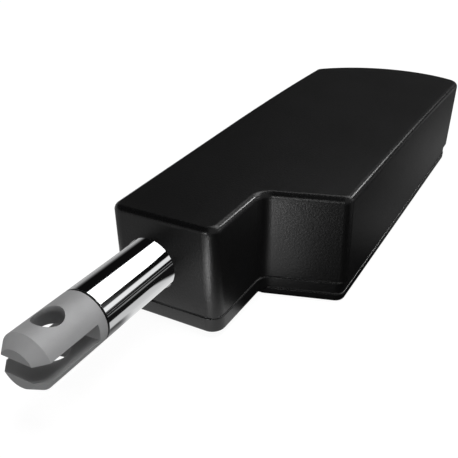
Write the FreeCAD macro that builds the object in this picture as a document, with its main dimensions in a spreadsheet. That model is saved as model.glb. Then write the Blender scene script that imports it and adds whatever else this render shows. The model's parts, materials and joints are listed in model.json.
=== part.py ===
"""Electric linear actuator with a parallel motor, modelled in millimetres.

The origin is the centre of the rear pin hole. +X runs along the rod to the front eye, +Y points to the motor
and +Z is up. The rod is drawn in, as in the photograph.
"""
import FreeCAD, Part
import math
import os
import re
import Sketcher

doc = FreeCAD.newDocument("linear_actuator")

# Driving sizes, in millimetres and degrees
SIZES = {
    # Housing outline
    "nose_x": 236.0,            # rear pin centre to nose face
    "nose_length": 34.0,        # nose face to inner corner of the step
    "step_slant": 17.0,         # lean of the step face in plan
    "left_y": 16.3,             # rod axis to left wall at the nose
    "left_flare": 2.2,          # left wall opens towards the rear
    "nose_right_y": 27.4,       # rod axis to right wall of the nose
    "right_taper": 0.4,         # right wall closes towards the rear
    "seam_z": 16.0,             # rod axis down to the seam
    "nose_drop": 1.4,           # nose underside below the base plate's upper face
    "base_height": 3.4,         # base plate thickness
    "base_lip": 0.6,            # base plate stands proud of the shell
    "crown_x": 146.0,           # where the top starts to fall
    "crown_drop": 3.3,          # fall of the top at the rear
    "rear_x": 6.0,              # rearmost point of the top
    "rear_bulge": 33.06,        # depth of the rear curve at its foot
    "rear_y": 21.8,             # middle of the rear curve
    "rear_lean": 12.0,          # rear wall leans forward going down
    "cover_lip": 0.3,           # cover stands proud of the shell
    "right_tuck": 1.5,          # cover and base plate set in along the right wall
    "wall": 2.5,
    "floor": 2.0,
    # Rounded edges
    "nose_round": 5.0,
    "notch_round": 5.0,
    "step_round": 3.5,
    "rear_left_round": 5.0,
    "rear_right_round": 11.0,
    "top_round": 2.4,
    "under_round": 1.2,
    "seam_round": 0.4,
    "seam_gap": 0.5,            # height of the shadow gap at a seam
    "seam_depth": 0.8,
    # Rod and eyes
    "rod_radius": 10.0,
    "rod_wall": 2.5,
    "rod_reach": 35.5,          # rod length in front of the nose
    "eye_pin_x": 50.3,          # nose face to front pin centre
    "eye_end": 14.0,            # pin centre to eye tip
    "rear_eye_end": 12.0,
    "pin_radius": 5.1,
    "slot_width": 6.2,
    "slot_depth": 24.3,
    "rear_slot_depth": 22.0,
    "eye_chamfer_long": 4.0,
    "eye_chamfer_in": 3.2,
    "eye_shank": 18.0,          # part of the eye inside the rod
    "washer_gap": 0.8,
    "washer_step": 0.4,
    "stroke": 120.0,
    # Clearances
    "slide_gap": 0.3,           # between sliding pieces
    "running_gap": 0.05,        # shaft in its bush
    "seat_gap": 0.2,            # piece in its seat
    # Rear boss, bearing and spindle
    "boss_depth": 11.2,         # rear wall at the axis to the seat of the fixture
    "fixture_flange": 4.0,
    "cup_wall": 2.0,
    "bearing_radius": 12.0,
    "bearing_width": 6.0,
    "ball_radius": 1.6,
    "ball_gap": 0.05,
    "ring_wall": 1.6,
    "ball_count": 9,
    "cage_wall": 0.8,
    "spindle_radius": 6.0,
    "spindle_tail": 5.0,        # radius of the threaded tail
    "lock_nut_radius": 8.0,
    "lock_nut_length": 3.0,
    "spindle_spare": 10.0,      # spindle past the nut when extended
    "spindle_chamfer": 1.0,
    "collar_radius": 7.4,
    "collar_length": 2.0,
    # Gears
    "module_fast": 0.8,
    "module_slow": 1.0,
    "teeth_pinion": 12,
    "teeth_idler_big": 30,
    "teeth_idler_small": 17,
    "teeth_spindle": 26,
    "gear_width": 8.0,
    "fast_width": 6.0,
    "gear_gap": 1.0,            # axial room beside the gears
    "backlash": 0.16,
    "centre_play": 0.05,        # added to the gears' centre distances
    "idler_pin_radius": 2.5,
    "idler_pin_head": 4.0,
    "plate_thick": 2.5,
    "plate_margin": 0.6,        # gear plate edge beyond the tube and inside the motor
    # Drive nut and guide tube
    "nut_radius": 12.0,
    "nut_length": 20.0,
    "nut_spigot": 8.0,
    "nut_start": 3.0,           # gear plate to nut, drawn in
    "key_width": 4.4,
    "key_height": 2.6,
    "tube_wall": 1.2,
    # Nose
    "guide_length": 16.0,
    "guide_spigot": 8.0,
    "wiper_length": 5.0,
    "wiper_setback": 3.0,       # nose face to wiper
    "nose_gap": 0.45,           # rod to its hole in the nose
    "wiper_wall": 1.6,
    "collar_wall": 2.0,
    # Motor
    "motor_y": 37.7,
    "motor_z": 1.5,             # motor axis below the rod axis
    "motor_radius": 17.0,
    "motor_room": 1.5,          # motor to right wall
    "head_room": 2.1,           # motor to roof
    "cradle_inset": 8.0,        # end of the motor can to a cradle rib
    "cradle_thick": 2.5,
    "cradle_width": 28.0,
    "cradle_rise": 7.0,         # roof down to the ends of a cradle rib
    "can_wall": 1.4,
    "cap_length": 12.0,
    "magnet_thick": 2.2,
    "magnet_overhang": 3.0,     # magnet past each end of the core
    "magnet_arc": 120.0,
    "air_gap": 0.5,
    "core_length": 44.0,
    "core_slots": 10,
    "slot_mouth": 1.6,
    "slot_bottom": 7.0,         # motor axis to the bottom of an armature slot
    "winding_length": 5.0,
    "winding_gap": 2.0,         # room beside windings and commutator
    "winding_inner": 3.2,
    "winding_outer": 9.7,
    "shaft_radius": 2.0,
    "bush_radius": 4.5,
    "bush_length": 5.0,
    "commutator_radius": 5.5,
    "brush_width": 4.0,
    # Screws
    "screw_radius": 1.6,
    "screw_head_radius": 3.4,
    "screw_head_height": 2.2,
    "screw_length": 13.0,
    "screw_boss_radius": 3.3,
    "motor_screw_circle": 10.5,
    "motor_screw_head": 2.7,
    # Electrics
    "socket_y": 25.5,
    "socket_radius": 7.5,
    "socket_length": 17.0,
    "socket_wall": 1.6,
    "socket_depth": 9.0,
    "contact_radius": 0.8,
    "contact_circle": 3.2,
    "contact_count": 4,
    "board_gap": 1.6,           # board to motor, screw boss and wall
    "board_width": 28.0,
    "board_thick": 1.6,
    "post_radius": 2.2,
    "magnet_ring_wall": 2.6,
    "magnet_ring_width": 3.0,
    "sensor_size": 4.0,
}

# Places worked out from the driving sizes
PLACES = {
    "step_x": "nose_x - nose_length",
    "top_z": "motor_radius - motor_z + head_room + wall",
    "motor_right_y": "motor_y + motor_radius + motor_room + wall",
    "cover_right_y": "motor_right_y - right_tuck",
    "cover_height": "motor_z + motor_radius + slide_gap + floor - seam_z",
    "rear_reach": "rear_y + left_y + (nose_x - rear_x) * tan(left_flare * 1 deg) + base_lip",
    "rear_fall": "(rear_top_z - base_low_z) * tan(rear_lean * 1 deg)",
    "rear_radius": "(rear_reach^2 + rear_bulge^2) / (2 * rear_bulge) + rear_fall",
    "arc_x": "rear_x + rear_radius",
    "crown_radius": "((crown_x - rear_x)^2 + crown_drop^2) / (2 * crown_drop)",
    "rear_top_z": "top_z - crown_drop",
    "rear_axis_radius": "rear_radius - rear_top_z * tan(rear_lean * 1 deg)",
    "rear_wall_x": "arc_x - sqrt(rear_axis_radius^2 - rear_y^2)",
    "socket_wall_x": "arc_x - sqrt(rear_axis_radius^2 - (socket_y - rear_y)^2)",
    "socket_x": "socket_wall_x - wall / 2",
    "base_top_z": "-seam_z - cover_height",
    "base_low_z": "base_top_z - base_height",
    "nose_low_z": "base_top_z - nose_drop",
    "floor_z": "base_top_z + floor",
    "front_pin_x": "nose_x + eye_pin_x",
    "eye_tip_x": "front_pin_x + eye_end",
    "rod_front_x": "nose_x + rod_reach",
    "eye_back_x": "rod_front_x + washer_gap",
    "rod_bore": "rod_radius - rod_wall",
    "seat_x": "rear_wall_x + boss_depth",
    "cup_x": "seat_x + fixture_flange",
    "bearing_x": "cup_x + bearing_width",
    "cup_radius": "bearing_radius + cup_wall",
    "gear_x": "bearing_x + collar_length",
    "fast_x": "gear_x + gear_width + gear_gap",
    "plate_x": "fast_x + fast_width + gear_gap",
    "motor_x": "plate_x + plate_thick",
    "motor_length": "core_length + 2 * (winding_length + winding_gap + bush_length)",
    "cap_x": "motor_x + motor_length",
    "motor_end_x": "cap_x + cap_length",
    "tube_bore": "nut_radius + slide_gap",
    "tube_radius": "tube_bore + tube_wall",
    "wiper_front_x": "nose_x - wiper_setback",
    "guide_front_x": "wiper_front_x - wiper_length",
    "guide_x": "guide_front_x - guide_length",
    "nut_x": "motor_x + nut_start",
    "nut_front_x": "nut_x + nut_length",
    "spindle_end_x": "nut_front_x + stroke + spindle_spare",
    "wiper_radius": "rod_radius + running_gap + wiper_wall",
    "pitch_pinion": "module_fast * teeth_pinion / 2",
    "pitch_idler_big": "module_fast * teeth_idler_big / 2",
    "pitch_idler_small": "module_slow * teeth_idler_small / 2",
    "pitch_spindle": "module_slow * teeth_spindle / 2",
    "reach_slow": "pitch_spindle + pitch_idler_small + centre_play",
    "reach_fast": "pitch_pinion + pitch_idler_big + centre_play",
    "motor_reach": "sqrt(motor_y^2 + motor_z^2)",
    "motor_turn": "atan2(-motor_z; motor_y)",
    "idler_turn": "acos((reach_slow^2 + motor_reach^2 - reach_fast^2) / (2 * reach_slow * motor_reach))",
    "idler_y": "reach_slow * cos(motor_turn - idler_turn)",
    "idler_z": "reach_slow * sin(motor_turn - idler_turn)",
    "magnet_out": "motor_radius - can_wall",
    "magnet_in": "magnet_out - magnet_thick",
    "core_radius": "magnet_in - air_gap",
    "core_x": "motor_x + (motor_length - core_length) / 2",
    "magnet_x": "core_x - magnet_overhang",
    "magnet_length": "core_length + 2 * magnet_overhang",
    "commutator_x": "core_x + core_length + winding_length",
    "commutator_end_x": "motor_end_x - bush_length - winding_gap",
    "brush_in": "commutator_radius + slide_gap",
    "brush_out": "sqrt(magnet_out^2 - brush_width^2 / 4)",
    "board_x": "motor_end_x + board_gap",
    "board_length": "step_x - 6 * screw_boss_radius - board_gap - board_x",
    "board_y": "motor_y - board_width / 2",
    "ball_circle": "(bearing_radius + spindle_radius) / 2",
    "magnet_ring_x": "fast_x + 2 * gear_gap",
}

sheet = doc.addObject("Spreadsheet::Sheet", "Sizes")
for row, (name, number) in enumerate(SIZES.items(), start=1):
    sheet.set(f"A{row}", name)
    sheet.set(f"B{row}", str(number))
    sheet.setAlias(f"B{row}", name)
doc.recompute()


def formula(text):
    """The same formula with each size and place named by its sheet."""
    def named(match):
        word = match.group(0)
        if word in SIZES:
            return f"Sizes.{word}"
        return f"Layout.{word}" if word in PLACES else word
    return re.sub(r"[a-z][a-z_0-9]*", named, str(text))


layout = doc.addObject("Spreadsheet::Sheet", "Layout")
for row, name in enumerate(PLACES, start=1):
    layout.set(f"A{row}", name)
    layout.setAlias(f"B{row}", name)
for row, text in enumerate(PLACES.values(), start=1):
    layout.set(f"B{row}", "=" + formula(text))
doc.recompute()


def at(name):
    """A size or place as a plain number."""
    value = sheet.get(name) if name in SIZES else layout.get(name)
    return float(getattr(value, "Value", value))


def bind(thing, prop, text):
    thing.setExpression(prop, formula(text))


# Ways of making a piece
PIECES = []


def piece(thing, label):
    """Marks a finished sub-part: its label names its file."""
    thing.Label = label
    PIECES.append(thing)
    return thing


def new_body(name):
    return doc.addObject("PartDesign::Body", name)


def new_sketch(body, role, name):
    plane = next(f for f in body.Origin.OriginFeatures if f.Role == role)
    sketch = body.newObject("Sketcher::SketchObject", name)
    sketch.AttachmentSupport = (plane, [""])
    sketch.MapMode = "FlatFace"
    return sketch


def pin_point(sketch, geometry, end, x, y):
    """Ties one point of a sketch to a pair of formulas."""
    for kind, text in (("DistanceX", x), ("DistanceY", y)):
        number = sketch.addConstraint(Sketcher.Constraint(kind, -1, 1, geometry, end, 1.0))
        bind(sketch, f"Constraints[{number}]", text)


def outline(sketch, corners):
    """A closed outline of straight lines through corners given as pairs of formulas."""
    count = len(corners)
    start = [FreeCAD.Vector(math.cos(math.tau * k / count), math.sin(math.tau * k / count), 0)
             for k in range(count)]
    first = sketch.GeometryCount
    for k in range(count):
        sketch.addGeometry(Part.LineSegment(start[k], start[(k + 1) % count]))
    for k in range(count):
        sketch.addConstraint(Sketcher.Constraint("Coincident", first + k, 2, first + (k + 1) % count, 1))
        pin_point(sketch, first + k, 1, *corners[k])


def turned(name, profile):
    """A body turned about the rod axis from a profile of (x, radius) pairs."""
    body = new_body(name)
    sketch = new_sketch(body, "XZ_Plane", name + "_profile")
    outline(sketch, profile)
    turn = body.newObject("PartDesign::Revolution", name + "_turn")
    turn.Profile = sketch
    turn.ReferenceAxis = (sketch, ["H_Axis"])
    turn.Angle = 360
    return body


def ring(name, x0, x1, inner, outer):
    return turned(name, [(x0, inner), (x1, inner), (x1, outer), (x0, outer)])


def moved(thing, y, z):
    """Moves a body off the rod axis."""
    bind(thing, "Placement.Base.y", y)
    bind(thing, "Placement.Base.z", z)
    return thing


def place(thing, x, y, z):
    for axis, text in zip("xyz", (x, y, z)):
        bind(thing, f"Placement.Base.{axis}", text)
    return thing


def box(name, x, y, z, length, width, height):
    thing = doc.addObject("Part::Box", name)
    for prop, text in (("Length", length), ("Width", width), ("Height", height)):
        bind(thing, prop, text)
    return place(thing, x, y, z)


def rod_x(name, x, y, z, radius, length):
    """A cylinder along X."""
    thing = doc.addObject("Part::Cylinder", name)
    bind(thing, "Radius", radius)
    bind(thing, "Height", length)
    thing.Placement.Rotation = FreeCAD.Rotation(FreeCAD.Vector(0, 1, 0), 90)
    return place(thing, x, y, z)


def rod_z(name, x, y, z, radius, height):
    """A cylinder along Z."""
    thing = doc.addObject("Part::Cylinder", name)
    bind(thing, "Radius", radius)
    bind(thing, "Height", height)
    return place(thing, x, y, z)


def fuse(name, things):
    if len(things) == 1:
        return things[0]
    thing = doc.addObject("Part::MultiFuse", name)
    thing.Shapes = things
    return thing


def cut(name, base, tools):
    thing = doc.addObject("Part::Cut", name)
    thing.Base = base
    thing.Tool = fuse(name + "_tools", tools)
    return thing


def group(name, things):
    """Equal pieces that share one node."""
    thing = doc.addObject("Part::Compound", name)
    thing.Links = things
    return thing


# Housing shapes
LEFT = "-left_y - (nose_x - ({x})) * tan(left_flare * 1 deg) + ({inset}) / cos(left_flare * 1 deg)"
RIGHT = "{right} - (step_x - ({x})) * tan(right_taper * 1 deg) - ({inset})"
STEP_OUT_X = ("step_x - (({inset}) + ({right} - ({inset}) - nose_right_y) * sin(step_slant * 1 deg))"
              " / cos(step_slant * 1 deg)")
STEP_IN_X = "step_x - ({inset}) * (1 - sin(step_slant * 1 deg)) / cos(step_slant * 1 deg)"
BEHIND_X = "rear_x - 4 * wall"


def plan_corners(inset, with_nose, right):
    """Plan outline of the housing out to its right wall, moved in by the inset, without its rear curve."""
    front_x = f"nose_x - ({inset})" if with_nose else STEP_IN_X.format(inset=inset)
    step_out = STEP_OUT_X.format(inset=inset, right=right)
    nose_y = f"nose_right_y - ({inset})"
    corners = [(front_x, LEFT.format(x=front_x, inset=inset)), (front_x, nose_y)]
    if with_nose:
        corners.append((STEP_IN_X.format(inset=inset), nose_y))
    corners.append((step_out, RIGHT.format(x=step_out, inset=inset, right=right)))
    corners.append((BEHIND_X, RIGHT.format(x=BEHIND_X, inset=inset, right=right)))
    corners.append((BEHIND_X, LEFT.format(x=BEHIND_X, inset=inset)))
    return corners


def crown_cut(body, name, roof):
    """Cuts the gentle fall of the top, moved down by the roof thickness."""
    sketch = new_sketch(body, "XZ_Plane", name + "_crown")
    top, x0, radius = at("top_z"), at("crown_x"), at("crown_radius")
    end_x, high = at("rear_x") - 4 * at("wall"), top + at("wall")
    lean = math.asin((x0 - end_x) / radius)
    centre = FreeCAD.Vector(x0, top - radius, 0)
    circle = Part.Circle(centre, FreeCAD.Vector(0, 0, 1), radius)
    sketch.addGeometry(Part.ArcOfCircle(circle, math.pi / 2, math.pi / 2 + lean))
    corner = FreeCAD.Vector(end_x, high, 0)
    front = FreeCAD.Vector(x0, high, 0)
    sketch.addGeometry(Part.LineSegment(FreeCAD.Vector(end_x, top - at("crown_drop"), 0), corner))
    sketch.addGeometry(Part.LineSegment(corner, front))
    sketch.addGeometry(Part.LineSegment(front, FreeCAD.Vector(x0, top, 0)))
    for a, b in ((0, 1), (1, 2), (2, 3)):
        sketch.addConstraint(Sketcher.Constraint("Coincident", a, 2, b, 1))
    sketch.addConstraint(Sketcher.Constraint("Coincident", 3, 2, 0, 1))
    pin_point(sketch, 0, 3, "crown_x", "top_z - crown_radius")
    pin_point(sketch, 2, 1, BEHIND_X, "top_z + wall")
    pin_point(sketch, 2, 2, "crown_x", "top_z + wall")
    sketch.addConstraint(Sketcher.Constraint("Vertical", 1))
    number = sketch.addConstraint(Sketcher.Constraint("Radius", 0, radius))
    bind(sketch, f"Constraints[{number}]", f"crown_radius - ({roof})")
    sketch.addConstraint(Sketcher.Constraint("Vertical", 3))
    pocket = body.newObject("PartDesign::Pocket", name + "_crown_cut")
    pocket.Profile = sketch
    pocket.Type = "ThroughAll"
    pocket.SideType = "Symmetric"


def rear_cut(body, name, inset, low, high):
    """Turns the rear wall to a leaning cone about an upright axis."""
    sketch = new_sketch(body, "XZ_Plane", name + "_rear")
    bind(sketch, "AttachmentOffset.Base.z", "-rear_y")
    radius = "rear_radius - (rear_top_z - ({z})) * tan(rear_lean * 1 deg) - ({inset})"
    below, above = f"({low}) - wall", f"({high}) + wall"
    far = "arc_x - 2 * rear_radius"
    outline(sketch, [("arc_x - (" + radius.format(z=below, inset=inset) + ")", below),
                     ("arc_x - (" + radius.format(z=above, inset=inset) + ")", above),
                     (far, above), (far, below)])
    axis = sketch.addGeometry(Part.LineSegment(FreeCAD.Vector(at("arc_x"), 0, 0),
                                               FreeCAD.Vector(at("arc_x"), 1, 0)), True)
    pin_point(sketch, axis, 1, "arc_x", "0")
    pin_point(sketch, axis, 2, "arc_x", "wall")
    groove = body.newObject("PartDesign::Groove", name + "_rear_cut")
    groove.Profile = sketch
    groove.ReferenceAxis = (sketch, ["Axis0"])
    groove.Midplane = True
    groove.Angle = 180


def housing_block(name, inset, low, high, roof=None, with_nose=True, right="cover_right_y"):
    """A solid of the housing's form between two heights, moved in by the inset."""
    body = new_body(name)
    sketch = new_sketch(body, "XY_Plane", name + "_plan")
    bind(sketch, "AttachmentOffset.Base.z", low)
    outline(sketch, plan_corners(inset, with_nose, right))
    pad = body.newObject("PartDesign::Pad", name + "_pad")
    pad.Profile = sketch
    bind(pad, "Length", f"({high}) - ({low})")
    if roof is not None:
        crown_cut(body, name, roof)
    rear_cut(body, name, inset, low, high)
    doc.recompute()
    return body


def upright_edges(shape, x, y, reach):
    """Names of the upright edges that pass near a point of the plan."""
    names = []
    for number, edge in enumerate(shape.Edges, start=1):
        ends = [v.Point for v in edge.Vertexes]
        if len(ends) < 2 or abs(ends[0].z - ends[1].z) < at("floor"):
            continue
        middle = edge.CenterOfMass
        if math.hypot(middle.x - x, middle.y - y) < reach:
            names.append(f"Edge{number}")
    return names


def round_edges(body, name, edges, radius):
    base = body.Tip
    fillet = body.newObject("PartDesign::Fillet", name)
    fillet.Base = (base, edges)
    bind(fillet, "Radius", radius)
    doc.recompute()
    return fillet


def round_uprights(body, name, inset, with_nose=True):
    """Rounds the upright corners of a housing block."""
    step_depth = at("motor_right_y") - at("nose_right_y")
    step_out = at("step_x") - step_depth * math.tan(math.radians(at("step_slant")))
    reach = 4 * at("wall")
    spots = [("step_round", step_out, at("motor_right_y"))]
    if with_nose:
        spots.append(("nose_round", at("nose_x"), -at("left_y")))
        spots.append(("nose_round", at("nose_x"), at("nose_right_y")))
        spots.append(("notch_round", at("step_x"), at("nose_right_y")))
    rear = [("rear_left_round", min), ("rear_right_round", max)]
    for number, (radius, x, y) in enumerate(spots):
        edges = upright_edges(body.Shape, x, y, reach)
        round_edges(body, f"{name}_round{number}", edges, f"{radius} - ({inset})")
    for number, (radius, side) in enumerate(rear):
        back = [e for e in upright_edges(body.Shape, at("rear_wall_x"), at("rear_y"), at("rear_radius"))]
        edge = side(back, key=lambda e: body.Shape.getElement(e).CenterOfMass.y)
        round_edges(body, f"{name}_rear{number}", [edge], f"{radius} - ({inset})")


def rim_edges(shape, low, high):
    """Names of the edges that run round between two heights."""
    play = at("seat_gap")
    return [f"Edge{n}" for n, e in enumerate(shape.Edges, start=1)
            if e.BoundBox.ZMin > low - play and e.BoundBox.ZMax < high + play]


def round_rim(body, name, z, radius):
    """Rounds the edges that run round a housing block at one height."""
    round_edges(body, name, rim_edges(body.Shape, z, z), radius)


def shadow_gap(name, low, with_nose=True, right="cover_right_y"):
    """A shallow groove all round the housing, to cut above a seam."""
    high = f"({low}) + seam_gap"
    band = housing_block(name + "_band", "-base_lip", low, high, with_nose=with_nose, right=right)
    core = housing_block(name + "_core", "seam_depth", low, high, with_nose=with_nose, right=right)
    return cut(name, band, [core])


def motor_cradles(name, low, high):
    """Two ribs between two heights, hollowed to the motor's round."""
    ribs = []
    for number, x in enumerate(("motor_x + cradle_inset", "cap_x - cradle_inset - cradle_thick")):
        rib = box(f"{name}_rib{number}", x, "motor_y - cradle_width / 2", low,
                  "cradle_thick", "cradle_width", f"({high}) - ({low})")
        bed = rod_x(f"{name}_bed{number}", "motor_x", "motor_y", "-motor_z", "motor_radius + slide_gap",
                    "motor_length")
        ribs.append(cut(f"{name}_cradle{number}", rib, [bed]))
    return ribs


# Screw places, as (x, y) formulas, and whether the screw sits in the nose
SCREWS = [
    ("guide_front_x - 2.4 * screw_boss_radius", "nose_right_y - wall - 1.4 * screw_boss_radius", True),
    ("step_x - 5 * screw_boss_radius", "motor_right_y - 2.2 * screw_boss_radius - wall", False),
    ("board_x + board_length / 2", "tube_radius + screw_boss_radius + slide_gap", False),
    ("seat_x + 1.4 * screw_boss_radius", "motor_y + 2 * screw_boss_radius", False),
    ("motor_x + screw_boss_radius", "-tube_radius - screw_boss_radius - seat_gap", False),
]


def make_upper_housing():
    side = "motor_right_y"
    outer = housing_block("shell_form", "0", "-seam_z", "top_z", roof="0", right=side)
    round_uprights(outer, "shell_form", "0")
    top = rim_edges(outer.Shape, at("rear_top_z") - at("wall"), at("top_z"))
    round_edges(outer, "shell_form_top", top, "top_round")
    room = housing_block("shell_room", "wall", "-seam_z - wall", "top_z - wall", roof="wall", right=side)
    stays = [rod_x("rear_boss", "0", "0", "0", "cup_radius + collar_wall / 2", "seat_x"),
             rod_x("nose_boss", "guide_x", "0", "0", "tube_radius + collar_wall", "nose_x - guide_x")]
    for number, (x, y, _) in enumerate(SCREWS):
        stays.append(rod_z(f"screw_boss{number}", x, y, "-seam_z", "screw_boss_radius", "seam_z + top_z"))
    stays += motor_cradles("shell", "top_z - wall - cradle_rise", "top_z - wall")
    hollow = cut("shell_hollow", room, stays)
    holes = [hollow, shadow_gap("shell_gap", "-seam_z", right=side),
             rod_x("tube_seat", "guide_x - wall", "0", "0", "tube_radius", "guide_front_x - guide_x + wall"),
             rod_x("wiper_seat", "guide_x", "0", "0", "wiper_radius", "wiper_front_x - guide_x"),
             rod_x("nose_hole", "guide_x", "0", "0", "rod_radius + nose_gap", "nose_x"),
             rod_x("fixture_hole", "-nose_x", "0", "0", "rod_radius + running_gap", "nose_x + seat_x"),
             rod_x("fixture_seat", "seat_x", "0", "0", "cup_radius + seat_gap", "bearing_x - seat_x"),
             rod_x("socket_hole", "-nose_x", "socket_y", "0", "socket_radius + running_gap",
                   "nose_x + socket_wall_x + 3 * wall")]
    for number, (x, y, _) in enumerate(SCREWS):
        holes.append(rod_z(f"screw_pilot{number}", x, y, "-seam_z - wall", "screw_radius", "screw_length"))
    return piece(cut("upper_housing", outer, holes), "upper_housing")


def make_lower_cover():
    outer = housing_block("cover_form", "-cover_lip", "nose_low_z", "-seam_z")
    round_uprights(outer, "cover_form", "-cover_lip")
    round_rim(outer, "cover_form_under", at("nose_low_z"), "under_round")
    round_rim(outer, "cover_form_seam", -at("seam_z"), "seam_round")
    room = housing_block("cover_room", "wall", "floor_z", "-seam_z + wall")
    stays = [rod_z(f"cover_boss{n}", x, y, "nose_low_z", "screw_boss_radius + screw_radius",
                   "-seam_z - nose_low_z") for n, (x, y, in_nose) in enumerate(SCREWS) if in_nose]
    post_xs = ("board_x + post_radius", "board_x + board_length - post_radius")
    post_ys = ("board_y + post_radius", "board_y + board_width - post_radius")
    for number in range(4):
        stays.append(rod_z(f"board_post{number}", post_xs[number % 2], post_ys[number // 2],
                           "base_top_z", "post_radius", "cover_height"))
    stays += motor_cradles("cover", "floor_z", "-seam_z")
    hollow = cut("cover_hollow", room, stays)
    seat = housing_block("base_seat", "-base_lip", "base_low_z", "base_top_z", with_nose=False)
    tools = [hollow, seat, shadow_gap("cover_gap", "base_top_z", with_nose=False)]
    for number, (x, y, in_nose) in enumerate(SCREWS):
        tools.append(rod_z(f"cover_hole{number}", x, y, "base_low_z", "screw_radius + running_gap",
                           "seam_z"))
        if in_nose:
            tools.append(rod_z(f"cover_sink{number}", x, y, "base_low_z", "screw_head_radius + seat_gap",
                               "nose_low_z - base_low_z + screw_head_height"))
    return piece(cut("lower_cover", outer, tools), "lower_cover")


def make_base_plate():
    outer = housing_block("base_form", "-base_lip", "base_low_z", "base_top_z", with_nose=False)
    round_uprights(outer, "base_form", "-base_lip", with_nose=False)
    round_rim(outer, "base_form_under", at("base_low_z"), "under_round")
    round_rim(outer, "base_form_seam", at("base_top_z"), "seam_round")
    tools = []
    for number, (x, y, in_nose) in enumerate(SCREWS):
        if not in_nose:
            tools.append(rod_z(f"base_hole{number}", x, y, "base_low_z - wall", "screw_radius + running_gap",
                               "base_height + 2 * wall"))
            tools.append(rod_z(f"base_sink{number}", x, y, "base_low_z", "screw_head_radius + seat_gap",
                               "screw_head_height"))
    return piece(cut("base_plate", outer, tools), "base_plate")


def make_cover_screws():
    screws = []
    for number, (x, y, in_nose) in enumerate(SCREWS):
        seat = "nose_low_z + screw_head_height" if in_nose else "base_low_z + screw_head_height"
        head = rod_z(f"screw_head{number}", x, y, f"{seat} - screw_head_height", "screw_head_radius",
                     "screw_head_height")
        shank = rod_z(f"screw_shank{number}", x, y, seat, "screw_radius", "screw_length")
        screws.append(fuse(f"screw{number}", [head, shank]))
    return piece(group("cover_screws", screws), "cover_screws")


# Rod, eyes and nose
def slotted_eye(name, profile, pin_x, slot_x, slot_length):
    """A turned eye with a slot across it and an upright pin hole."""
    blank = turned(name + "_blank", profile)
    slot = box(name + "_slot", slot_x, "-2 * rod_radius", "-slot_width / 2", slot_length, "4 * rod_radius",
               "slot_width")
    hole = rod_z(name + "_hole", pin_x, "0", "-2 * rod_radius", "pin_radius", "4 * rod_radius")
    return piece(cut(name, blank, [slot, hole]), name)


def make_rod():
    slotted_eye("rod_eye", [
        ("eye_back_x - eye_shank", "0"), ("eye_tip_x", "0"),
        ("eye_tip_x", "rod_radius - eye_chamfer_in"), ("eye_tip_x - eye_chamfer_long", "rod_radius"),
        ("eye_back_x", "rod_radius"), ("eye_back_x", "rod_bore"),
        ("eye_back_x - eye_shank", "rod_bore")],
        "front_pin_x", "eye_tip_x - slot_depth", "2 * slot_depth")
    washer = ring("eye_washer", "rod_front_x", "eye_back_x", "rod_bore", "rod_radius - washer_step")
    piece(washer, "eye_washer")
    piece(ring("piston_tube", "nut_front_x", "rod_front_x", "rod_bore", "rod_radius"), "piston_tube")
    blank = turned("nut_blank", [
        ("nut_x", "spindle_radius + running_gap"),
        ("nut_front_x + nut_spigot", "spindle_radius + running_gap"),
        ("nut_front_x + nut_spigot", "rod_bore"), ("nut_front_x", "rod_bore"),
        ("nut_front_x", "nut_radius"), ("nut_x", "nut_radius")])
    key = box("nut_key", "nut_x", "-key_width / 2", "nut_radius - key_height", "nut_length",
              "key_width", "2 * key_height")
    piece(fuse("drive_nut", [blank, key]), "drive_nut")


def make_nose():
    piece(turned("rod_guide", [
        ("guide_x - guide_spigot", "rod_radius + running_gap"),
        ("guide_front_x", "rod_radius + running_gap"),
        ("guide_front_x", "tube_radius"), ("guide_x", "tube_radius"), ("guide_x", "tube_bore"),
        ("guide_x - guide_spigot", "tube_bore")]), "rod_guide")
    piece(turned("rod_wiper", [
        ("guide_front_x", "rod_radius + running_gap"),
        ("wiper_front_x - wiper_wall", "rod_radius + running_gap"),
        ("wiper_front_x", "rod_radius + wiper_wall / 2"), ("wiper_front_x", "wiper_radius"),
        ("guide_front_x", "wiper_radius")]), "rod_wiper")
    tube = ring("tube_blank", "motor_x", "guide_x", "tube_bore", "tube_radius")
    slot = box("tube_slot", "motor_x - wall", "-key_width / 2 - slide_gap", "0",
               "wall + stroke + 2 * nut_length", "key_width + 2 * slide_gap", "2 * tube_radius")
    piece(cut("guide_tube", tube, [slot]), "guide_tube")


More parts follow.
